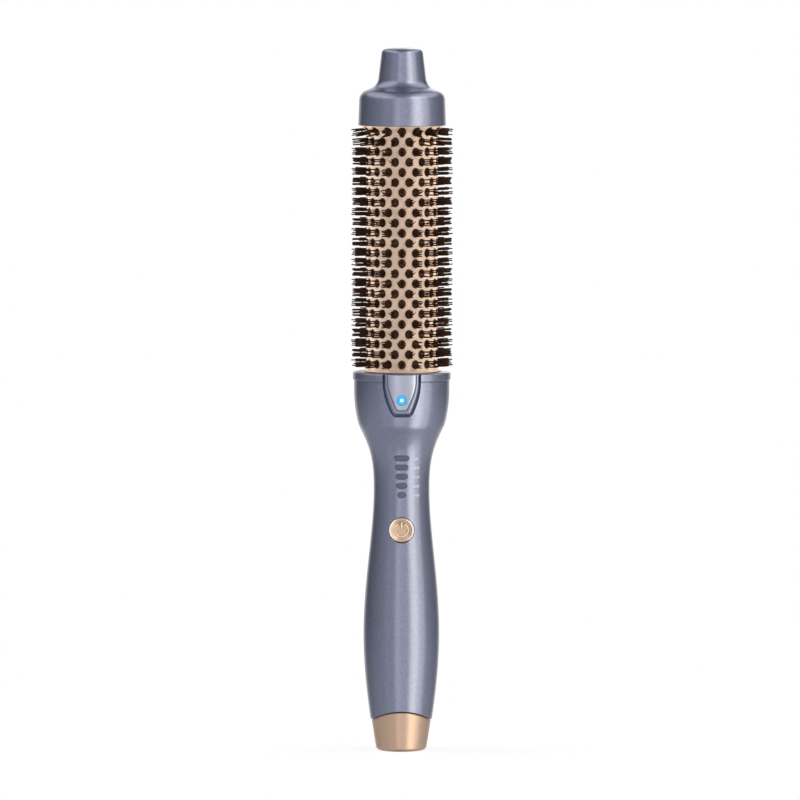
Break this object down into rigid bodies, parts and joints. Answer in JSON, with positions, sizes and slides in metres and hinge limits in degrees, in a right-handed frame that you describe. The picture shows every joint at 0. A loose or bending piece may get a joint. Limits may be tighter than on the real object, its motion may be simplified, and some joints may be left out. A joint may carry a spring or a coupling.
{
  "type": "round heated styling brush",
  "caption": "Round heated styling brush: bristled metal barrel with a cool tip, waisted handle with one push button, five indicator bars, lit ion port and end cap with a charging socket.",
  "frame": {"origin": "centre of the flat base of the end cap, on the brush's axis", "axes": "+Z along the axis from the end cap to the tip, -Y towards the front with the button, +X to the right seen from the front"},
  "size_m": [0.046, 0.046, 0.3163],
  "materials": {
    "pearl_plastic": "pearl blue-grey lacquer",
    "gold_aluminium": "satin champagne-gold anodised",
    "gold_trim": "glossy champagne-gold metallised",
    "bristle_nylon": "dark brown nylon filament",
    "carrier_nylon": "brown heat-resistant nylon",
    "tongue_pearl": "pearl blue-grey lacquer, a shade lighter",
    "port_light": "lit translucent blue",
    "indicator_smoke": "smoked translucent",
    "emitter_ceramic": "white ceramic, lit",
    "heat_aluminium": "extruded, natural",
    "heater_ceramic": "ceramic",
    "heat_plastic": "heat-resistant black moulding",
    "lead_silicone": "silicone-insulated lead",
    "board_laminate": "green solder resist",
    "component_black": "potted black",
    "led_white": "white chip",
    "screw_steel": "zinc plated",
    "cell_sleeve": "shrink sleeve",
    "nickel": "nickel strip"
  },
  "bodies": {
    "brush": {"tip_cap": "pearl_plastic", "tip_plug": "heat_plastic", "barrel": "gold_aluminium", "barrel_seat": "heat_plastic", "bristle_tufts": "bristle_nylon", "bristle_carrier": "carrier_nylon", "heat_spreader_front": "heat_aluminium", "heat_spreader_rear": "heat_aluminium", "heater_plate": "heater_ceramic", "heater_leads": "lead_silicone", "thermistor": "component_black", "thermal_fuse": "screw_steel", "collar_ring": "pearl_plastic", "tongue_frame": "tongue_pearl", "ion_panel": "tongue_pearl", "ion_port_lens": "port_light", "ion_emitter": "emitter_ceramic", "ion_board": "board_laminate", "ion_leds": "led_white", "ion_generator": "component_black", "handle_front_shell": "pearl_plastic", "handle_rear_shell": "pearl_plastic", "indicator_lens": "indicator_smoke", "indicator_leds": "led_white", "switch_body": "component_black", "control_board": "board_laminate", "board_screws": "screw_steel", "battery_cell": "cell_sleeve", "battery_contacts": "nickel", "battery_cradle": "heat_plastic", "charge_board": "board_laminate", "charging_socket": "nickel", "end_cap": "gold_trim"},
    "power_button": {"power_button": "gold_trim"},
    "switch_plunger": {"switch_plunger": "heat_plastic"}
  },
  "joints": [
    {"name": "button_press", "type": "slide", "parent": "brush", "child": "power_button", "axis": [0, 1, 0], "range_m": [0, 0.0006], "stiffness_N_per_m": 2000},
    {"name": "plunger_press", "type": "slide", "parent": "brush", "child": "switch_plunger", "axis": [0, 1, 0], "range_m": [0, 0.0006]}
  ],
  "couplings": [
    {"joint": "plunger_press", "follows": "button_press", "ratio": 1}
  ]
}
